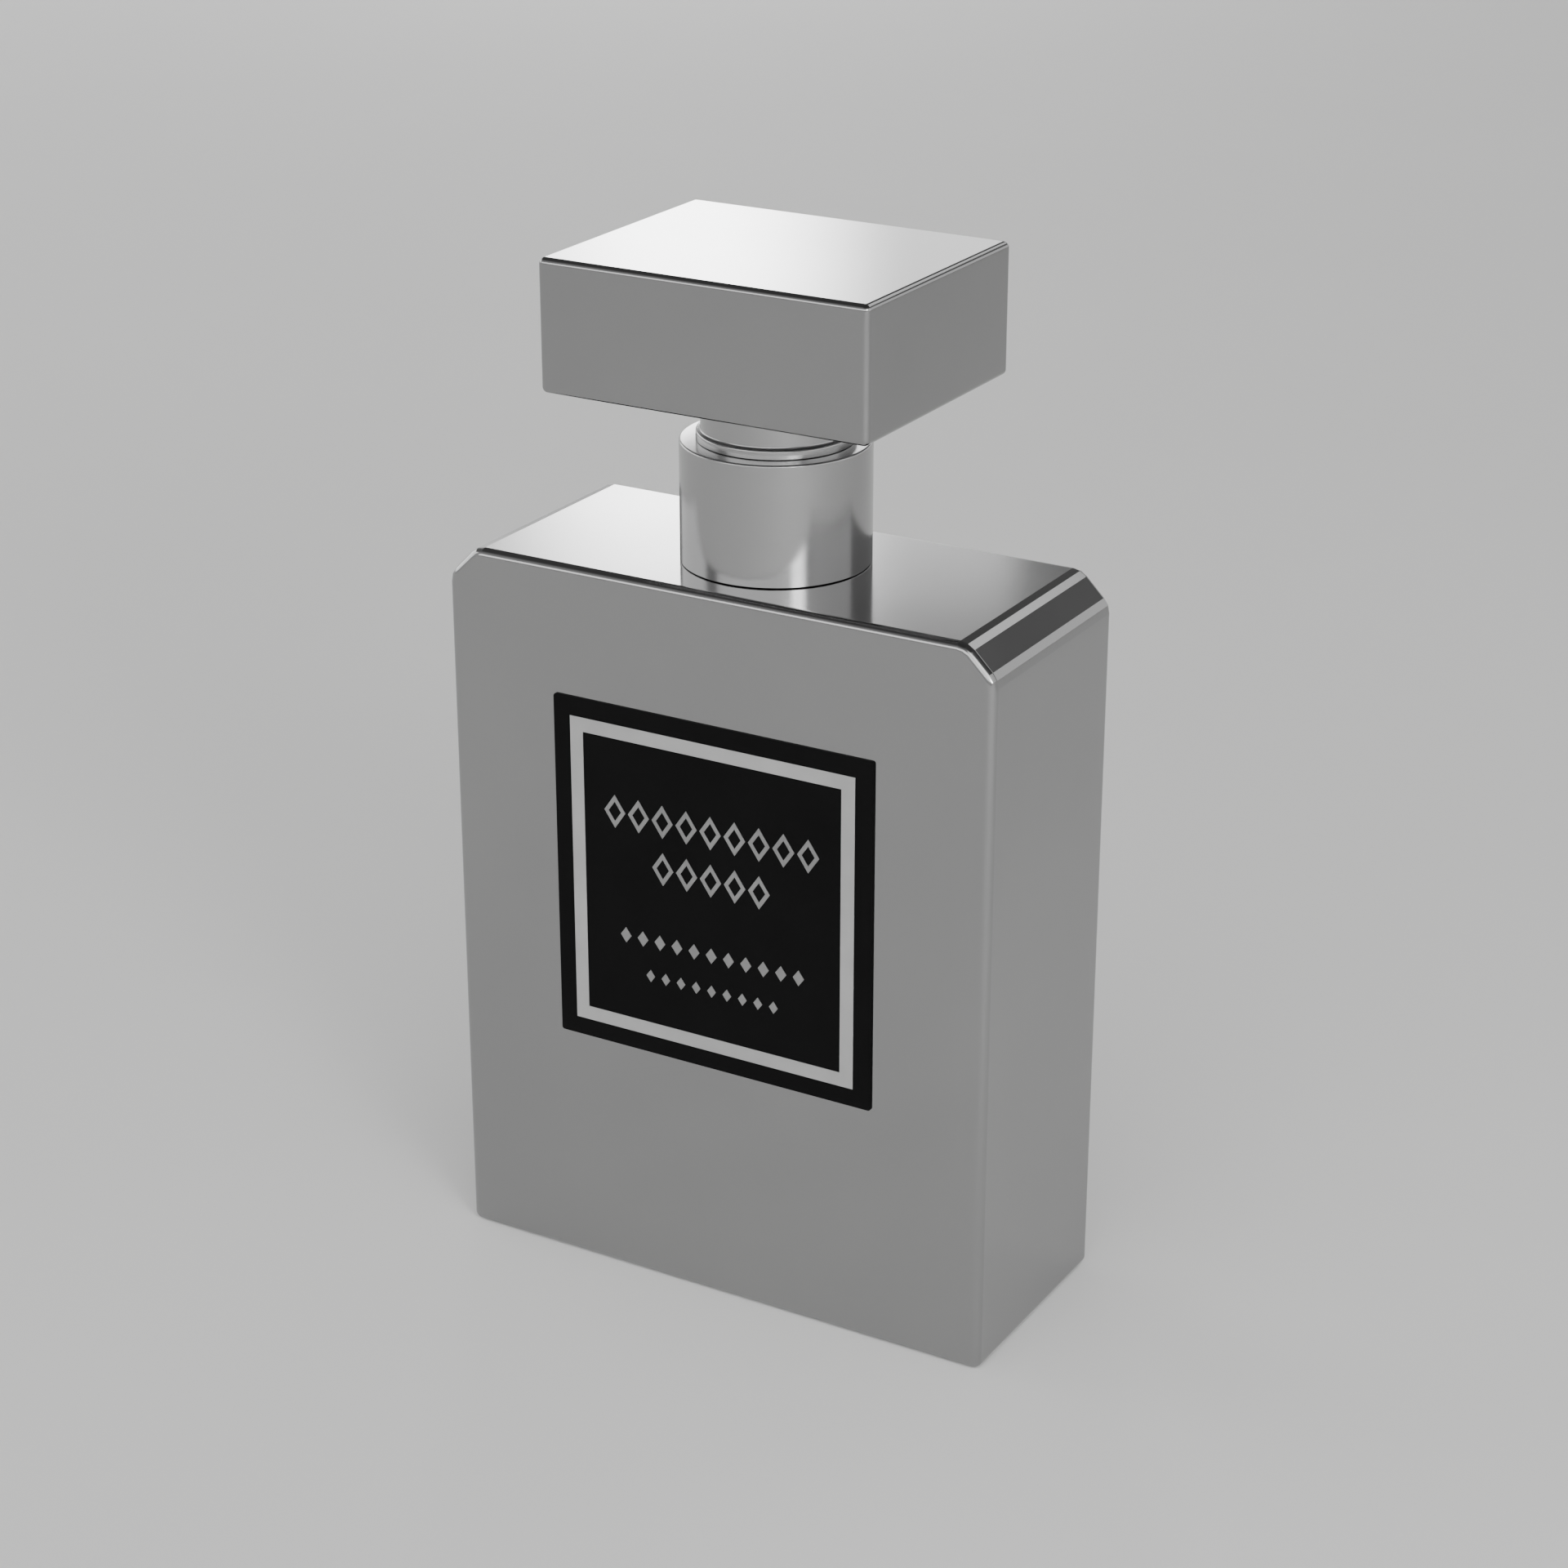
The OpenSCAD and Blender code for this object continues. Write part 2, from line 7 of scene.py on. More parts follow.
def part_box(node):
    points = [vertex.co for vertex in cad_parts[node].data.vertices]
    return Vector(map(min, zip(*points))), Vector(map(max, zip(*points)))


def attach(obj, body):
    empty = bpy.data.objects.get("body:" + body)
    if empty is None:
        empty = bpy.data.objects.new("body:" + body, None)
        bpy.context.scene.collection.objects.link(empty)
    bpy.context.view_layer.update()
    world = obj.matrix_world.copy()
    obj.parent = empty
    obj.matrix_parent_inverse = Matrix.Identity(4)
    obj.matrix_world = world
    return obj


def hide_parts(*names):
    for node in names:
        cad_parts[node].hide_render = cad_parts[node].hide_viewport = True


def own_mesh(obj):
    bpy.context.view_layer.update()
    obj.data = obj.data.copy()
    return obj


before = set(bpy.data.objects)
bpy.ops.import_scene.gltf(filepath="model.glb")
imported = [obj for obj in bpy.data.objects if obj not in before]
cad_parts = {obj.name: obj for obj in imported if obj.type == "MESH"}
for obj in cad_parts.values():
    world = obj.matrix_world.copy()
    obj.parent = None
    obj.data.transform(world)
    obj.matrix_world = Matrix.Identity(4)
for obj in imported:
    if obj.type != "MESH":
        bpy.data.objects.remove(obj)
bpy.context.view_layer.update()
mm = 0.001
weldDistance = 0.0004 * mm     # points closer than this become one
flatWeight = 80                 # how strongly large faces rule the shading


def roundedOutline(corners, arcSteps=6):
    # corners are (x, y, radius) round a closed outline
    points = []
    count = len(corners)
    for i, (x, y, radius) in enumerate(corners):
        corner = Vector((x, y))
        toLast = Vector(corners[i - 1][:2]) - corner
        toNext = Vector(corners[(i + 1) % count][:2]) - corner
        opening = acos(max(-1, min(1, toLast.normalized().dot(toNext.normalized()))))
        if radius <= 0 or abs(opening - pi) < 0.02:
            points.append(corner)
            continue
        reach = min(radius / tan(opening / 2), 0.49 * toLast.length, 0.49 * toNext.length)
        radius = reach * tan(opening / 2)
        middle = (toLast.normalized() + toNext.normalized()).normalized()
        centre = corner + middle * radius / sin(opening / 2)
        start = corner + toLast.normalized() * reach - centre
        end = corner + toNext.normalized() * reach - centre
        startAngle = atan2(start.y, start.x)
        turn = (atan2(end.y, end.x) - startAngle + pi) % (2 * pi) - pi
        for step in range(arcSteps + 1):
            angle = startAngle + turn * step / arcSteps
            points.append(centre + radius * Vector((cos(angle), sin(angle))))
    return points


def addMesh(name, bm, sharpAngle=32):
    bmesh.ops.remove_doubles(bm, verts=bm.verts, dist=weldDistance)
    bmesh.ops.recalc_face_normals(bm, faces=bm.faces)
    mesh = bpy.data.meshes.new(name)
    bm.to_mesh(mesh)
    bm.free()
    piece = bpy.data.objects.new(name, mesh)
    bpy.context.scene.collection.objects.link(piece)
    smoothPiece(piece, sharpAngle)
    return piece


def smoothPiece(piece, sharpAngle=32):
    mesh = piece.data
    for face in mesh.polygons:
        face.use_smooth = True
    mesh.set_sharp_from_angle(angle=radians(sharpAngle))
    if "flatFaces" not in piece.modifiers:
        weighted = piece.modifiers.new("flatFaces", 'WEIGHTED_NORMAL')  # large faces stay flat
        weighted.keep_sharp = True
        weighted.weight = flatWeight


def lathe(name, corners, segments=128, arcSteps=6):
    # corners are (radius, height, rounding) in mm round a closed section
    outline = roundedOutline(corners, arcSteps)
    bm = bmesh.new()
    rings = []
    for point in outline:
        if point.x < 1e-4:
            rings.append([bm.verts.new((0, 0, point.y * mm))])
            continue
        rings.append([
            bm.verts.new((
                point.x * cos(2 * pi * k / segments) * mm,
                point.x * sin(2 * pi * k / segments) * mm,
                point.y * mm,
            ))
            for k in range(segments)
        ])
    for i, ring in enumerate(rings):
        following = rings[(i + 1) % len(rings)]
        for k in range(segments):
            quad = []
            for vert in (
                ring[k % len(ring)], ring[(k + 1) % len(ring)],
                following[(k + 1) % len(following)], following[k % len(following)],
            ):
                if vert not in quad:
                    quad.append(vert)
            if len(quad) > 2:
                bm.faces.new(quad)
    return addMesh(name, bm)


def softPrism(name, corners, front, back, rounding, arcSteps=8, sharpAngle=32):
    # a convex outline in X-Z, extruded along Y, in mm; a ball of one radius rolls round its rims
    # a corner may carry its own, larger radius and how many flats make up its turn
    count = len(corners)
    spots = [Vector(corner[:2]) for corner in corners]
    radii = [corner[2] if len(corner) > 2 else rounding for corner in corners]
    flats = [corner[3] if len(corner) > 3 else arcSteps for corner in corners]
    normals = []
    for i in range(count):
        along = (spots[(i + 1) % count] - spots[i]).normalized()
        normals.append(Vector((along.y, -along.x)))
    centres = []
    for i in range(count):
        n0 = normals[i - 1]
        n1 = normals[i]
        centres.append(spots[i] - radii[i] * (n0 + n1) / (1 + n0.dot(n1)))

    def section(y, ball):
        loop = []
        for i in range(count):
            a0 = atan2(normals[i - 1].y, normals[i - 1].x)
            turn = (atan2(normals[i].y, normals[i].x) - a0 + pi) % (2 * pi) - pi
            for step in range(flats[i] + 1):
                angle = a0 + turn * step / flats[i]
                reach = radii[i] - rounding + ball
                spot = centres[i] + reach * Vector((cos(angle), sin(angle)))
                loop.append(bm.verts.new((spot.x * mm, y * mm, spot.y * mm)))
        return loop

    bm = bmesh.new()
    loops = []
    for step in range(arcSteps + 1):
        lean = pi / 2 * step / arcSteps
        loops.append(section(front + rounding * (1 - cos(lean)), rounding * sin(lean)))
    for step in range(arcSteps, -1, -1):
        lean = pi / 2 * step / arcSteps
        loops.append(section(back - rounding * (1 - cos(lean)), rounding * sin(lean)))
    for near, far in zip(loops, loops[1:]):
        for k in range(len(near)):
            j = (k + 1) % len(near)
            bm.faces.new((near[k], near[j], far[j], far[k]))
    for loop in (loops[0], loops[-1]):
        bm.faces.new(loop)
    bmesh.ops.remove_doubles(bm, verts=bm.verts, dist=weldDistance)
    bmesh.ops.dissolve_degenerate(bm, edges=bm.edges, dist=weldDistance)
    return addMesh(name, bm, sharpAngle)


def boxOutline(low, high):
    return [(low[0], low[2]), (high[0], low[2]), (high[0], high[2]), (low[0], high[2])]


def combine(piece, tool, operation, sharpAngle=32):
    # joins, cuts or keeps with the exact solver, then forgets the tool
    step = piece.modifiers.new("combine", 'BOOLEAN')
    step.operation = operation
    step.object = tool
    step.solver = 'EXACT'
    for other in list(piece.modifiers):
        if other.type == 'WEIGHTED_NORMAL':
            piece.modifiers.remove(other)
    bpy.context.view_layer.update()
    graph = bpy.context.evaluated_depsgraph_get()
    result = bpy.data.meshes.new_from_object(piece.evaluated_get(graph))
    piece.modifiers.clear()
    old = piece.data
    result.name = piece.name
    piece.data = result
    bpy.data.meshes.remove(old)
    bpy.data.objects.remove(tool)
    bm = bmesh.new()
    bm.from_mesh(piece.data)
    bmesh.ops.remove_doubles(bm, verts=bm.verts, dist=weldDistance)
    bmesh.ops.dissolve_degenerate(bm, edges=bm.edges, dist=weldDistance)
    bmesh.ops.recalc_face_normals(bm, faces=bm.faces)
    bm.to_mesh(piece.data)
    bm.free()
    smoothPiece(piece, sharpAngle)
    return piece


def boxInMm(node):
    low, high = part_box(node)
    return low / mm, high / mm


def settle(piece, body, slot, material, *nodes):
    # gives a finished piece its material and its body, and hides the CAD nodes that it stands for
    piece.data.materials.clear()
    piece.data.materials.append(material)
    if nodes:
        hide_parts(*nodes)
    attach(piece, body)
    return piece


def newMaterial(name):
    material = bpy.data.materials.new(name)
    material.use_nodes = True
    nodes = material.node_tree.nodes
    links = material.node_tree.links
    shader = nodes["Principled BSDF"]
    place = nodes.new("ShaderNodeTexCoord")
    return material, nodes, links, shader, place.outputs["Object"]


def addNoise(nodes, links, place, scale, detail=3.0, stretch=(1, 1, 1)):
    mapping = nodes.new("ShaderNodeMapping")
    mapping.inputs["Scale"].default_value = stretch
    noise = nodes.new("ShaderNodeTexNoise")
    noise.inputs["Scale"].default_value = scale
    noise.inputs["Detail"].default_value = detail
    links.new(place, mapping.inputs["Vector"])
    links.new(mapping.outputs["Vector"], noise.inputs["Vector"])
    return noise.outputs["Fac"]


def addRange(nodes, links, value, low, high, start=0.3, end=0.7):
    # turns a 0 to 1 pattern into a value between low and high
    step = nodes.new("ShaderNodeMapRange")
    step.inputs["From Min"].default_value = start
    step.inputs["From Max"].default_value = end
    step.inputs["To Min"].default_value = low
    step.inputs["To Max"].default_value = high
    links.new(value, step.inputs["Value"])
    return step.outputs["Result"]


def addTint(nodes, links, value, dark, light):
    mix = nodes.new("ShaderNodeMix")
    mix.data_type = 'RGBA'
    mix.inputs["A"].default_value = (*dark, 1)
    mix.inputs["B"].default_value = (*light, 1)
    links.new(value, mix.inputs["Factor"])
    return mix.outputs["Result"]


def addBump(nodes, links, shader, value, height, strength):
    bump = nodes.new("ShaderNodeBump")
    bump.inputs["Strength"].default_value = strength
    bump.inputs["Distance"].default_value = height
    links.new(value, bump.inputs["Height"])
    links.new(bump.outputs["Normal"], shader.inputs["Normal"])


def lacquerMetal(name, settings):
    # satin mirror lacquer: fine flake, faint clouding and soft wipe marks
    material, nodes, links, shader, place = newMaterial(name)
    cloud = addNoise(nodes, links, place, settings["cloudScale"], 4)
    flake = addNoise(nodes, links, place, settings["flakeScale"], 2)
    wipe = addNoise(nodes, links, place, settings["wipeScale"], 5, settings["wipeStretch"])
    clouding = addRange(nodes, links, cloud, 0, 1)
    colour = addTint(nodes, links, clouding, settings["dark"], settings["light"])
    links.new(colour, shader.inputs["Base Color"])
    rough = addRange(nodes, links, wipe, settings["roughLow"], settings["roughHigh"])
    links.new(rough, shader.inputs["Roughness"])
    addBump(nodes, links, shader, flake, settings["flakeHeight"], settings["flakeStrength"])
    shader.inputs["Metallic"].default_value = 1.0
    return material


def plastic(name, settings):
    material, nodes, links, shader, place = newMaterial(name)
    mottle = addNoise(nodes, links, place, settings["mottleScale"], 4)
    grain = addNoise(nodes, links, place, settings["grainScale"], 2)
    mottling = addRange(nodes, links, mottle, 0, 1)
    colour = addTint(nodes, links, mottling, settings["dark"], settings["light"])
    links.new(colour, shader.inputs["Base Color"])
    links.new(
        addRange(nodes, links, mottle, settings["roughLow"], settings["roughHigh"]),
        shader.inputs["Roughness"],
    )
    addBump(nodes, links, shader, grain, settings["grainHeight"], settings["grainStrength"])
    shader.inputs["Specular IOR Level"].default_value = settings["specular"]
    shader.inputs["Subsurface Weight"].default_value = settings.get("glow", 0.0)
    shader.inputs["Subsurface Scale"].default_value = 0.0008
    return material


flaskLacquer = {
    "dark": (0.305, 0.305, 0.307), "light": (0.33, 0.33, 0.33),
    "cloudScale": 22.0, "flakeScale": 9000.0, "wipeScale": 55.0, "wipeStretch": (1.0, 1.0, 0.25),
    "roughLow": 0.09, "roughHigh": 0.12, "flakeHeight": 0.000004, "flakeStrength": 0.5,
}
capLacquer = dict(
    flaskLacquer, dark=(0.285, 0.285, 0.287), light=(0.31, 0.31, 0.31),
    wipeStretch=(0.3, 1.0, 1.0), cloudScale=30.0,
)
collarPolish = dict(
    flaskLacquer, dark=(0.35, 0.35, 0.352), light=(0.38, 0.38, 0.38),
    wipeScale=160.0, wipeStretch=(0.2, 0.2, 3.0), roughLow=0.17, roughHigh=0.21,
)
labelInk = {
    "dark": (0.0034, 0.0034, 0.0035), "light": (0.0044, 0.0044, 0.0045),
    "mottleScale": 120.0, "grainScale": 2600.0, "roughLow": 0.42, "roughHigh": 0.52,
    "grainHeight": 0.00001, "grainStrength": 0.2, "specular": 0.06,
}
foilFinish = {
    "dark": (0.52, 0.52, 0.52), "light": (0.60, 0.60, 0.60),
    "cloudScale": 160.0, "flakeScale": 5000.0, "wipeScale": 300.0, "wipeStretch": (1, 1, 1),
    "roughLow": 0.30, "roughHigh": 0.40, "flakeHeight": 0.000004, "flakeStrength": 0.3,
}
printInk = dict(
    foilFinish, dark=(0.30, 0.30, 0.30), light=(0.36, 0.36, 0.36), roughLow=0.4, roughHigh=0.5,
)
whitePlastic = {
    "dark": (0.74, 0.74, 0.72), "light": (0.82, 0.82, 0.80),
    "mottleScale": 260.0, "grainScale": 3000.0, "roughLow": 0.34, "roughHigh": 0.44,
    "grainHeight": 0.00001, "grainStrength": 0.2, "specular": 0.5, "glow": 0.15,
}
blackPlastic = {
    "dark": (0.018, 0.018, 0.019), "light": (0.028, 0.028, 0.03),
    "mottleScale": 200.0, "grainScale": 2400.0, "roughLow": 0.40, "roughHigh": 0.52,
    "grainHeight": 0.00002, "grainStrength": 0.35, "specular": 0.5,
}
silverPlastic = dict(
    blackPlastic, dark=(0.34, 0.34, 0.345), light=(0.42, 0.42, 0.425), roughLow=0.28, roughHigh=0.36,
)
sealRubber = dict(blackPlastic, roughLow=0.65, roughHigh=0.8, specular=0.3)
brightSteel = dict(
    flaskLacquer, dark=(0.50, 0.50, 0.51), light=(0.60, 0.60, 0.61),
    wipeScale=400.0, roughLow=0.18, roughHigh=0.30,
)
zincSteel = dict(
    brightSteel, dark=(0.36, 0.37, 0.38), light=(0.50, 0.51, 0.52), cloudScale=260.0,
    roughLow=0.35, roughHigh=0.55,
)
ferruleMetal = dict(brightSteel, dark=(0.62, 0.62, 0.63), light=(0.70, 0.70, 0.71))

finishes = {
    "flask": lacquerMetal("flaskLacquer", flaskLacquer),
    "cap": lacquerMetal("capLacquer", capLacquer),
    "collar": lacquerMetal("collarPolish", collarPolish),
    "label": plastic("labelInk", labelInk),
    "foil": lacquerMetal("labelFoil", foilFinish),
    "print": lacquerMetal("labelPrint", printInk),
    "silver": plastic("silverPlastic", silverPlastic),
    "white": plastic("whitePlastic", whitePlastic),
    "black": plastic("blackPlastic", blackPlastic),
    "rubber": plastic("sealRubber", sealRubber),
    "steel": lacquerMetal("springSteel", brightSteel),
    "zinc": lacquerMetal("zincSteel", zincSteel),
    "ferrule": lacquerMetal("ferruleMetal", ferruleMetal),
}
print("materials made")


def liquidMaterial():
    material, nodes, links, shader, place = newMaterial("paleLiquid")
    drift = addNoise(nodes, links, place, 30, 2)
    colour = addTint(nodes, links, drift, (0.86, 0.78, 0.50), (0.92, 0.86, 0.62))
    links.new(colour, shader.inputs["Base Color"])
    shader.inputs["Roughness"].default_value = 0.02
    shader.inputs["IOR"].default_value = 1.36
    shader.inputs["Transmission Weight"].default_value = 0.9
    return material


finishes["liquid"] = liquidMaterial()

flask = {
    "edge": 1.0,            # rounding of the outer edges
    "cut": 3.7,             # shoulder cuts
    "cutEase": 2.5,         # radius round which two flats ease each edge of the cuts
    "crisp": 10,            # turns above this many degrees stay crisp
    "wall": 3.5,
    "base": 8.0,
    "shoulder": 4.0,
    "cavityEdge": 3.0,
    "neck": 6.5,
    "bead": 7.4,
    "bore": 4.75,
    "neckHeight": 8.5,
    "beadHeight": 3.4,
    "foot": 4.5,            # width of the standing ring
    "pushUp": 0.8,
}


def flaskOutline(halfWidth, low, high, cut, ease):
    return [
        (-halfWidth, low), (halfWidth, low), (halfWidth, high - cut, ease, 2),
        (halfWidth - cut, high, ease, 2), (-halfWidth + cut, high, ease, 2),
        (-halfWidth, high - cut, ease, 2),
    ]


def makeFlask():
    low, high = boxInMm("bottle")
    top = high.z - flask["neckHeight"]
    body = softPrism(
        "flaskGlass", flaskOutline(high.x, low.z, top, flask["cut"], flask["cutEase"]),
        low.y, high.y, flask["edge"], 12, flask["crisp"],
    )
    beadLow = high.z - flask["beadHeight"]
    neck = lathe("neckTool", [
        (0, top - 2, 0), (flask["neck"], top - 2, 0), (flask["neck"], beadLow, 0.3),
        (flask["bead"], beadLow + 0.45, 0.3), (flask["bead"], high.z, 0.35), (0, high.z, 0),
    ])
    combine(body, neck, 'UNION', flask["crisp"])
    wall = flask["wall"]
    hollow = softPrism(
        "hollowTool",
        flaskOutline(
            high.x - wall, low.z + flask["base"], top - flask["shoulder"],
            flask["cut"], flask["cavityEdge"],
        ),
        low.y + wall, high.y - wall, flask["cavityEdge"],
    )
    combine(body, hollow, 'DIFFERENCE', flask["crisp"])
    bore = lathe("boreTool", [
        (0, top - flask["shoulder"] - 1, 0), (flask["bore"], top - flask["shoulder"] - 1, 0),
        (flask["bore"], high.z + 1, 0), (0, high.z + 1, 0),
    ], 96)
    combine(body, bore, 'DIFFERENCE', flask["crisp"])
    foot = flask["foot"]
    recess = softPrism(
        "recessTool",
        boxOutline((low.x + foot, 0, -flask["pushUp"]), (high.x - foot, 0, flask["pushUp"])),
        low.y + foot, high.y - foot, flask["pushUp"] * 0.6,
    )
    combine(body, recess, 'DIFFERENCE', flask["crisp"])
    return settle(body, "flask", "lacquered_glass", finishes["flask"], "bottle")


makeFlask()
print("flask made")

label = {
    "edge": 0.1,
    "cornerSoft": 0.35,
    "borderWidth": 1.77,
}


def extrudeOutline(name, outline, front, back, soft=0.0, holes=()):
    # flat piece facing -Y; outline in X-Z mm; soft rounds its front rim
    bm = bmesh.new()
    loops = []
    for shape in (outline, *holes):
        loops.append([bm.verts.new((x * mm, front * mm, z * mm)) for x, z in shape])
    edges = []
    for loop in loops:
        for k in range(len(loop)):
            edges.append(bm.edges.new((loop[k], loop[(k + 1) % len(loop)])))
    filled = bmesh.ops.triangle_fill(bm, use_beauty=True, edges=edges)
    faces = [g for g in filled["geom"] if isinstance(g, bmesh.types.BMFace)]
    grown = bmesh.ops.extrude_face_region(bm, geom=faces)
    moved = [g for g in grown["geom"] if isinstance(g, bmesh.types.BMVert)]
    bmesh.ops.translate(bm, verts=moved, vec=(0, (back - front) * mm, 0))
    bmesh.ops.dissolve_limit(bm, angle_limit=radians(0.5), verts=bm.verts, edges=bm.edges)
    if soft > 0:
        rim = [
            e for e in bm.edges
            if all(abs(v.co.y - front * mm) < 1e-7 for v in e.verts) and len(e.link_faces) == 2
            and abs(e.link_faces[0].normal.dot(e.link_faces[1].normal)) < 0.5
        ]
        bmesh.ops.bevel(bm, geom=rim, offset=soft * mm, segments=2, profile=0.5, affect='EDGES')
    return addMesh(name, bm)


def makeLabel():
    low, high = boxInMm("label_plate")
    corners = [
        (low.x, low.z, label["cornerSoft"]), (high.x, low.z, label["cornerSoft"]),
        (high.x, high.z, label["cornerSoft"]), (low.x, high.z, label["cornerSoft"]),
    ]
    outline = [tuple(p) for p in roundedOutline(corners, 4)]
    plate = extrudeOutline("labelPlate", outline, low.y, high.y, label["edge"])
    settle(plate, "flask", "label_black", finishes["label"], "label_plate")


def makeBorder():
    low, high = boxInMm("label_border")
    width = label["borderWidth"]
    outer = [(low.x, low.z), (high.x, low.z), (high.x, high.z), (low.x, high.z)]
    inner = [
        (low.x + width, low.z + width), (high.x - width, low.z + width),
        (high.x - width, high.z - width), (low.x + width, high.z - width),
    ]
    frameLine = extrudeOutline("labelFrame", outer, low.y, high.y, 0.02, [inner])
    settle(frameLine, "flask", "silver_foil", finishes["foil"], "label_border")


makeLabel()
makeBorder()
print("label made")

ornament = {
    "rows": [
        # height above the label's middle, how many, pitch, width, height, line (0 for solid)
        (8.6, 9, 3.25, 2.9, 4.2, 0.5),
        (2.6, 5, 3.25, 2.9, 4.2, 0.5),
        (-7.0, 11, 2.35, 1.5, 2.0, 0),
        (-11.6, 9, 2.1, 1.2, 1.6, 0),
    ],
}


def addLozenge(bm, x, z, width, height, line, front, back):
    # a flat diamond; with a line width it is open in the middle
    rings = []
    slope = hypot(width, height) / 2
    shrink = line * slope / (width / 2), line * slope / (height / 2)
    for inset in ((0, 0), shrink) if line else ((0, 0),):
        halfHeight = height / 2 - inset[0]
        halfWidth = width / 2 - inset[1]
        for y in (front, back):
            rings.append([
                bm.verts.new(((x + a * halfWidth) * mm, y * mm, (z + b * halfHeight) * mm))
                for a, b in ((1, 0), (0, 1), (-1, 0), (0, -1))
            ])
    for k in range(4):
        j = (k + 1) % 4
        bm.faces.new((rings[0][k], rings[0][j], rings[1][j], rings[1][k]))
        if line:
            bm.faces.new((rings[2][k], rings[3][k], rings[3][j], rings[2][j]))
            bm.faces.new((rings[0][k], rings[2][k], rings[2][j], rings[0][j]))
            bm.faces.new((rings[1][k], rings[1][j], rings[3][j], rings[3][k]))
    if not line:
        bm.faces.new(rings[0])
        bm.faces.new(rings[1])


def makeOrnament():
    low, high = boxInMm("label_ornament")
    plateLow, plateHigh = boxInMm("label_plate")
    middle = (plateLow.z + plateHigh.z) / 2
    bm = bmesh.new()
    for rise, count, pitch, width, height, line in ornament["rows"]:
        for k in range(count):
            x = (k - (count - 1) / 2) * pitch
            addLozenge(bm, x, middle + rise, width, height, line, low.y, high.y)
    rows = addMesh("labelOrnament", bm)
    settle(rows, "flask", "silver_foil", finishes["print"], "label_ornament")


makeOrnament()
print("ornament made")

collar = {
    "wall": 0.45,
    "topRound": 0.25,
    "footRound": 0.12,
    "footDrop": 0.05,       # how far the foot comes down into its gap over the flask
    "footLip": 0.9,         # how far the foot is rolled in
    "sleeve": 8.64,
    "sleeveWall": 0.5,
    "step": 9.18,
    "stepHeight": 1.15,
    "spigotWall": 0.45,
}


def makeCollar():
    low, high = boxInMm("collar_shell")
    sleeveLow, sleeveHigh = boxInMm("collar_sleeve")
    radius = high.x
    foot = low.z - collar["footDrop"]
    wall = collar["wall"]
    sleeveRadius = collar["sleeve"]
    hole = sleeveRadius - collar["sleeveWall"]
    shell = lathe("collarShell", [
        (radius - collar["footLip"] - wall, foot, 0.15), (radius, foot, collar["footRound"]),
        (radius, high.z, collar["topRound"]), (hole, high.z, 0),
        (hole, high.z - wall, 0), (radius - wall, high.z - wall, 0.15),
        (radius - wall, foot + wall, 0.45), (radius - collar["footLip"] - wall, foot + wall, 0.15),
    ], 160, 8)
    settle(shell, "collar", "collar_aluminium", finishes["collar"], "collar_shell")
    stepTop = high.z + collar["stepHeight"]
    spigot = hole - collar["spigotWall"]
    sleeve = lathe("collarSleeve", [
        (spigot - 0.6, sleeveLow.z, 0.1), (hole, sleeveLow.z, 0.1), (hole, high.z, 0),
        (collar["step"], high.z, 0.12), (collar["step"], stepTop, 0.4),
        (sleeveRadius, stepTop, 0.35), (sleeveRadius, sleeveHigh.z, 0.2),
        (hole, sleeveHigh.z, 0.2), (hole, stepTop, 0.3),
        (spigot, stepTop - 0.45, 0.3), (spigot, sleeveLow.z + 0.4, 0.1),
        (spigot - 0.6, sleeveLow.z + 0.4, 0.1),
    ], 160, 8)
    settle(sleeve, "collar", "collar_aluminium", finishes["collar"], "collar_sleeve")


makeCollar()
print("collar made")

button = {
    "wall": 0.35,
    "topRound": 0.9,
    "dish": 0.55,           # depth of the finger dish
    "nozzle": 2.1,
    "nozzleDrop": 3.85,     # nozzle's axis below the top
}


def makeButton():
    low, high = boxInMm("actuator_shell")
    radius = high.x
    wall = button["wall"]
    dishRing = radius - 1.3
    dishBottom = high.z - button["dish"]
    shell = lathe("buttonShell", [
        (0, dishBottom, 0), (dishRing * 0.5, dishBottom + 0.1, 3), (dishRing, high.z, 0.8),
        (radius, high.z, button["topRound"]), (radius, low.z, 0.12),
        (radius - wall, low.z, 0.12), (radius - wall, dishBottom - 0.1, 0.5),
        (dishRing * 0.5, dishBottom - 0.1 - 0.05, 0), (0, dishBottom - 0.15, 0),
    ], 128, 8)
    nozzleHeight = high.z - button["nozzleDrop"]
    hole = lathe("holeTool", [
        (0, radius * 0.5, 0), (button["nozzle"], radius * 0.5, 0),
        (button["nozzle"], radius + 1, 0), (0, radius + 1, 0),
    ], 64)
    hole.data.transform(Matrix.Translation((0, 0, nozzleHeight * mm)) @ Matrix.Rotation(pi / 2, 4, 'X'))
    combine(shell, hole, 'DIFFERENCE')
    settle(shell, "button", "collar_aluminium", finishes["collar"], "actuator_shell")
    insertLow, insertHigh = boxInMm("nozzle_insert")
    faceOut = -insertLow.y
    faceIn = -insertHigh.y
    insert = lathe("nozzleInsert", [
        (0.5, faceIn, 0.05), (button["nozzle"], faceIn, 0.1), (button["nozzle"], faceOut, 0.15),
        (1.35, faceOut, 0.12), (0.9, faceOut - 0.45, 0.15), (0.2, faceOut - 0.45, 0.03),
        (0.2, faceOut - 0.9, 0), (0.5, faceOut - 0.9, 0),
    ], 64)
    insert.data.transform(Matrix.Translation((0, 0, nozzleHeight * mm)) @ Matrix.Rotation(pi / 2, 4, 'X'))
    settle(insert, "button", "button_plastic", finishes["white"], "nozzle_insert")


makeButton()
print("button made")

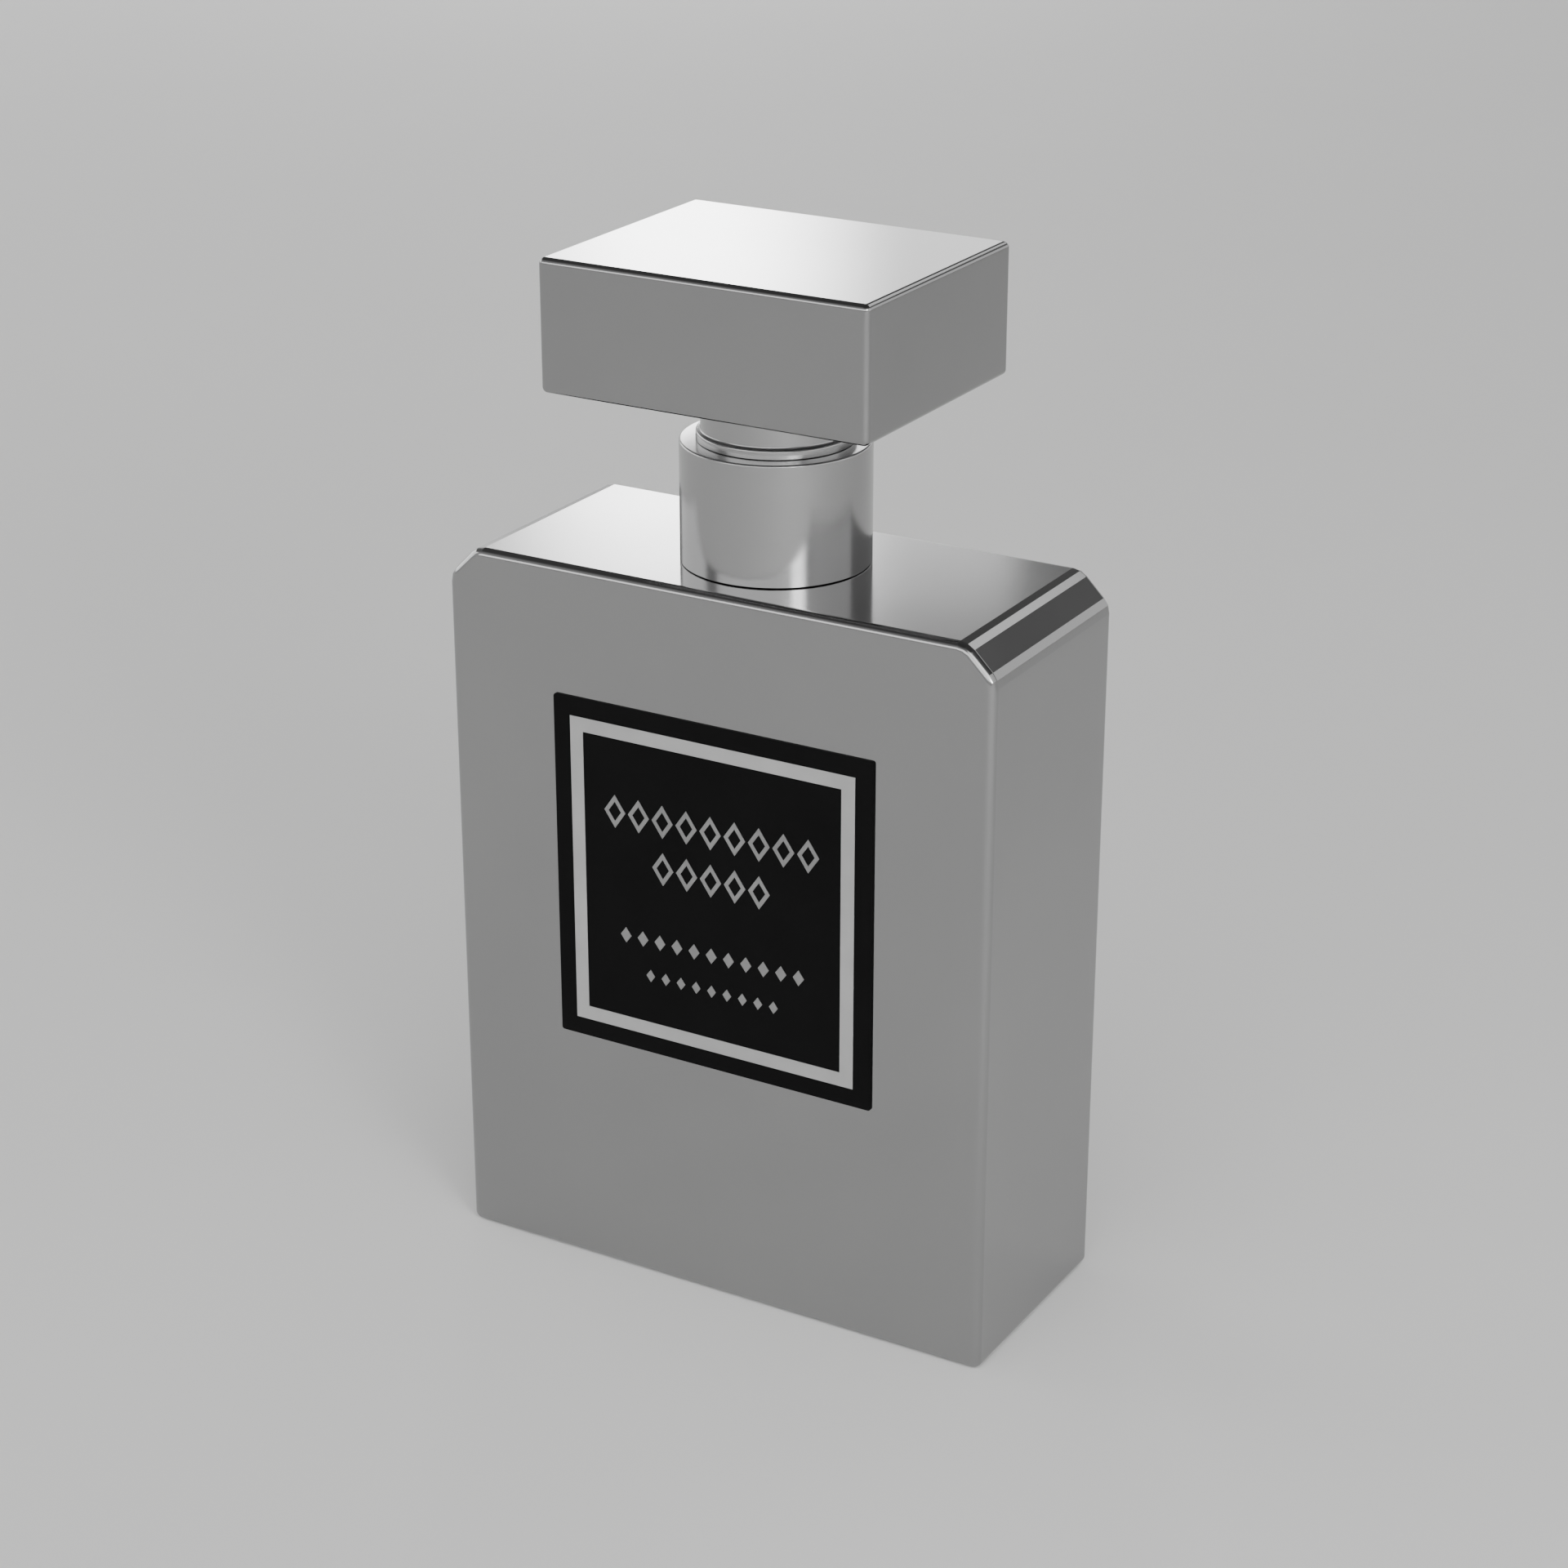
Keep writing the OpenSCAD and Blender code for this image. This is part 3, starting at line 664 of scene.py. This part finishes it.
cap = {
    "edge": 0.72,
    "wall": 1.5,
    "top": 1.8,
    "plateThick": 1.5,
    "socket": 8.7,
    "socketWall": 1.0,
    "upperBore": 7.3,
    "socketStop": 113.35,   # height of the shoulder that rests on the sleeve
}


def makeCap():
    low, high = boxInMm("cap_shell")
    shell = softPrism("capShell", boxOutline(low, high), low.y, high.y, cap["edge"])
    wall = cap["wall"]
    hollow = softPrism(
        "capTool",
        boxOutline((low.x + wall, 0, low.z - 3), (high.x - wall, 0, high.z - cap["top"])),
        low.y + wall, high.y - wall, 0.3, 4,
    )
    combine(shell, hollow, 'DIFFERENCE')
    settle(shell, "cap", "cap_metal", finishes["cap"], "cap_shell")


makeCap()


def makeCapInsert():
    low, high = boxInMm("cap_insert")
    plate = softPrism(
        "capInsert", boxOutline(low, (high.x, 0, low.z + cap["plateThick"])), low.y, high.y, 0.25, 3,
    )
    outer = cap["socket"] + cap["socketWall"]
    tube = lathe("tubeTool", [
        (0, low.z + 0.3, 0), (outer, low.z + 0.3, 0), (outer, high.z, 0.3), (0, high.z, 0),
    ], 96)
    combine(plate, tube, 'UNION')
    bore = lathe("socketTool", [
        (0, low.z - 1, 0), (cap["socket"] + 0.5, low.z - 1, 0), (cap["socket"] + 0.5, low.z, 0),
        (cap["socket"], low.z + 0.5, 0.2), (cap["socket"], cap["socketStop"], 0.1),
        (cap["upperBore"], cap["socketStop"], 0.15), (cap["upperBore"], high.z - 2, 0.5),
        (0, high.z - 2, 0),
    ], 96)
    combine(plate, bore, 'DIFFERENCE')
    settle(plate, "cap", "cap_plastic", finishes["silver"], "cap_insert")


makeCapInsert()
print("cap made")

spring = {
    "coil": 2.73,
    "wire": 0.42,
    "turns": 7.0,
    "endTurns": 1.0,
    "endPitch": 1.02,       # rise of the closed end turns, in wire thicknesses
    "sides": 12,
    "perTurn": 32,
}


def makeSpring():
    low, high = boxInMm("main_spring")
    wire = spring["wire"]
    bottom = low.z + wire / 2
    top = high.z - wire / 2
    endRise = wire * spring["endPitch"]
    turns = spring["turns"]
    steps = int(turns * spring["perTurn"])
    bm = bmesh.new()
    rings = []
    free = turns - 2 * spring["endTurns"]
    for k in range(steps + 1):
        turn = turns * k / steps
        if turn < spring["endTurns"]:
            height = bottom + endRise * turn
        elif turn > turns - spring["endTurns"]:
            height = top - endRise * (turns - turn)
        else:
            share = (turn - spring["endTurns"]) / free
            height = bottom + endRise + (top - bottom - 2 * endRise) * share
        angle = 2 * pi * turn
        out = Vector((cos(angle), sin(angle), 0))
        ring = []
        for s in range(spring["sides"]):
            around = 2 * pi * s / spring["sides"]
            spot = out * (spring["coil"] + wire / 2 * cos(around))
            spot.z = height + wire / 2 * sin(around)
            ring.append(bm.verts.new(spot * mm))
        rings.append(ring)
    for near, far in zip(rings, rings[1:]):
        for s in range(spring["sides"]):
            t = (s + 1) % spring["sides"]
            bm.faces.new((near[s], near[t], far[t], far[s]))
    bm.faces.new(rings[0])
    bm.faces.new(rings[-1])
    coil = addMesh("pumpSpring", bm, 60)
    settle(coil, "flask", "steel", finishes["steel"], "main_spring")
    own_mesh(coil)


makeSpring()
print("spring made")

# these pieces keep the shape of the CAD model

keptNodes = {
    "fragrance": "liquid", "neck_gasket": "rubber", "pump_housing": "white", "turret": "white",
    "stem_seal": "rubber", "stem": "white", "piston": "white", "inlet_ball": "steel",
    "dip_tube": "white", "crimp_ferrule": "ferrule", "collar_liner": "black",
    "actuator_core": "white", "cap_weight": "zinc",
}
for node, finish in keptNodes.items():
    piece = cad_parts[node]
    piece.data.materials.clear()
    piece.data.materials.append(finishes[finish])
print("kept pieces finished")

studio = {
    "aim": (0.5, 0.9, 61.5),        # mm
    "azimuth": 30.18,
    "elevation": 22.63,
    "distance": 409.0,
    "lens": 79.2,
    "floorSize": 6.0,
    "floorDark": (0.78, 0.78, 0.775),
    "floorLight": (0.82, 0.82, 0.815),
}
lights = {
    # name: azimuth from the front, elevation, distance, width, height, brightness, aim
    "frontBox": (4, 22, 1.5, 3.0, 0.50, 2.15, (0, 0, 60)),
    "topBox": (25, 68, 1.4, 1.0, 0.7, 2.1, (0, 0, 60)),
    "leftBox": (-92, 20, 1.4, 1.5, 0.8, 2.0, (0, 0, 60)),
    "rightBox": (100, 22, 1.4, 1.5, 0.8, 0.9, (0, 0, 60)),
    "floorPool": (50, 32, 0.40, 0.20, 0.20, 2.9, (250, -210, 0)),
}
hiddenInShine = ("topBox",)     # the metal's upper edges stay dark
glowPanels = {
    # side and height say where the glow starts and where it is full, as shares of the panel
    "backPanel": {
        "azimuth": -147.5, "elevation": 12, "width": 0.333, "height": 0.48, "brightness": 13.5,
        "side": (0.16, 0.46), "rise": (0.0, 0.33), "least": 0.19,
    },
    "rimPanel": {
        "azimuth": 166, "elevation": 35, "width": 0.86, "height": 0.34, "brightness": 1.6,
        "side": (0.0, 0.05), "rise": (0.0, 0.05), "least": 0.0,
    },
    "sidePanel": {
        "azimuth": 56, "elevation": 22, "width": 0.50, "height": 0.30, "brightness": 20.0,
        "side": (0.0, 0.35), "rise": (0.0, 0.35), "least": 0.0,
    },
}
panelDistance = 1.3
sky = {     # height and brightness, behind and in front
    "back": [(0.0, 1.22), (0.27, 1.22), (0.31, 0.30), (0.50, 0.12), (1.0, 0.10)],
    "front": [(0.0, 0.75), (0.42, 0.65), (0.66, 0.45), (0.80, 0.12), (1.0, 0.07)],
}


def fromAngles(azimuth, elevation, distance):
    # azimuth 0 is the front, -Y, and it grows towards +X
    a = radians(azimuth)
    e = radians(elevation)
    return Vector((cos(e) * sin(a), -cos(e) * cos(a), sin(e))) * distance


def pointAt(thing, place, target):
    thing.location = place
    thing.rotation_euler = (Vector(target) - Vector(place)).to_track_quat('-Z', 'Y').to_euler()


def makeCamera():
    data = bpy.data.cameras.new("camera")
    data.lens = studio["lens"]
    data.sensor_width = 36
    data.clip_start = 0.01
    camera = bpy.data.objects.new("camera", data)
    bpy.context.scene.collection.objects.link(camera)
    aim = Vector(studio["aim"]) * mm
    place = aim + fromAngles(studio["azimuth"], studio["elevation"], studio["distance"] * mm)
    pointAt(camera, place, aim)
    bpy.context.scene.camera = camera


def makeFloor():
    bm = bmesh.new()
    bmesh.ops.create_grid(bm, x_segments=1, y_segments=1, size=studio["floorSize"] / 2)
    mesh = bpy.data.meshes.new("floor")
    bm.to_mesh(mesh)
    bm.free()
    floor = bpy.data.objects.new("floor", mesh)
    bpy.context.scene.collection.objects.link(floor)
    material, nodes, links, shader, place = newMaterial("floorPaint")
    tone = addNoise(nodes, links, place, 6, 3)
    colour = addTint(nodes, links, tone, studio["floorDark"], studio["floorLight"])
    links.new(colour, shader.inputs["Base Color"])
    shader.inputs["Roughness"].default_value = 0.75
    shader.inputs["Specular IOR Level"].default_value = 0.15
    mesh.materials.append(material)


def makeLights():
    centre = Vector((0, 0, 0.06))
    for name, (azimuth, elevation, distance, width, height, brightness, target) in lights.items():
        data = bpy.data.lights.new(name, 'AREA')
        data.shape = 'RECTANGLE'
        data.size = width
        data.size_y = height
        data.energy = brightness * width * height * pi
        light = bpy.data.objects.new(name, data)
        bpy.context.scene.collection.objects.link(light)
        pointAt(light, centre + fromAngles(azimuth, elevation, distance), Vector(target) * mm)
        light.visible_camera = False
        light.visible_glossy = name not in hiddenInShine


def glowMaterial(name, settings):
    # bright in the middle of the panel, fading towards its rim
    material = bpy.data.materials.new(name)
    material.use_nodes = True
    nodes = material.node_tree.nodes
    links = material.node_tree.links
    nodes.clear()
    output = nodes.new("ShaderNodeOutputMaterial")
    glow = nodes.new("ShaderNodeEmission")
    place = nodes.new("ShaderNodeTexCoord")
    split = nodes.new("ShaderNodeSeparateXYZ")
    links.new(place.outputs["Generated"], split.inputs[0])
    fades = []
    for axis, (start, full), least in (
        ("X", settings["side"], settings["least"]), ("Y", settings["rise"], 0.0),
    ):
        fold = nodes.new("ShaderNodeMath")
        fold.operation = 'PINGPONG'                   # 0 at both rims, 0.5 in the middle
        fold.inputs[1].default_value = 0.5
        links.new(split.outputs[axis], fold.inputs[0])
        fade = nodes.new("ShaderNodeMapRange")
        fade.interpolation_type = 'SMOOTHSTEP'
        fade.inputs["From Min"].default_value = start
        fade.inputs["From Max"].default_value = full
        fade.inputs["To Min"].default_value = least
        links.new(fold.outputs[0], fade.inputs["Value"])
        fades.append(fade.outputs["Result"])
    both = nodes.new("ShaderNodeMath")
    both.operation = 'MULTIPLY'
    links.new(fades[0], both.inputs[0])
    links.new(fades[1], both.inputs[1])
    power = nodes.new("ShaderNodeMath")
    power.operation = 'MULTIPLY'
    power.inputs[1].default_value = settings["brightness"]
    links.new(both.outputs[0], power.inputs[0])
    links.new(power.outputs[0], glow.inputs["Strength"])
    links.new(glow.outputs[0], output.inputs["Surface"])
    return material


def makeGlowPanels():
    centre = Vector((0, 0, 0.1))
    for name, settings in glowPanels.items():
        bm = bmesh.new()
        bmesh.ops.create_grid(bm, x_segments=1, y_segments=1, size=0.5)
        bmesh.ops.scale(bm, verts=bm.verts, vec=(settings["width"], settings["height"], 1))
        mesh = bpy.data.meshes.new(name)
        bm.to_mesh(mesh)
        bm.free()
        mesh.materials.append(glowMaterial(name + "Glow", settings))
        panel = bpy.data.objects.new(name, mesh)
        bpy.context.scene.collection.objects.link(panel)
        away = fromAngles(settings["azimuth"], settings["elevation"], panelDistance)
        pointAt(panel, centre + away, centre)
        panel.visible_camera = False


def addHeightRamp(nodes, links, height, stops):
    ramp = nodes.new("ShaderNodeValToRGB")
    links.new(height, ramp.inputs["Fac"])
    while len(ramp.color_ramp.elements) < len(stops):
        ramp.color_ramp.elements.new(0.5)
    for stop, (place, brightness) in zip(ramp.color_ramp.elements, stops):
        stop.position = place
        stop.color = (brightness, brightness, brightness, 1)
    return ramp.outputs["Color"]


def makeWorld():
    world = bpy.data.worlds.new("studio")
    world.use_nodes = True
    nodes = world.node_tree.nodes
    links = world.node_tree.links
    place = nodes.new("ShaderNodeTexCoord")
    split = nodes.new("ShaderNodeSeparateXYZ")
    links.new(place.outputs["Generated"], split.inputs[0])
    mix = nodes.new("ShaderNodeMix")
    mix.data_type = 'RGBA'
    links.new(addHeightRamp(nodes, links, split.outputs["Z"], sky["front"]), mix.inputs["A"])
    links.new(addHeightRamp(nodes, links, split.outputs["Z"], sky["back"]), mix.inputs["B"])
    links.new(addRange(nodes, links, split.outputs["Y"], 0, 1, -0.3, 0.3), mix.inputs["Factor"])
    links.new(mix.outputs["Result"], nodes["Background"].inputs["Color"])
    bpy.context.scene.world = world


makeCamera()
makeFloor()
makeLights()
makeGlowPanels()
makeWorld()
print("studio made")
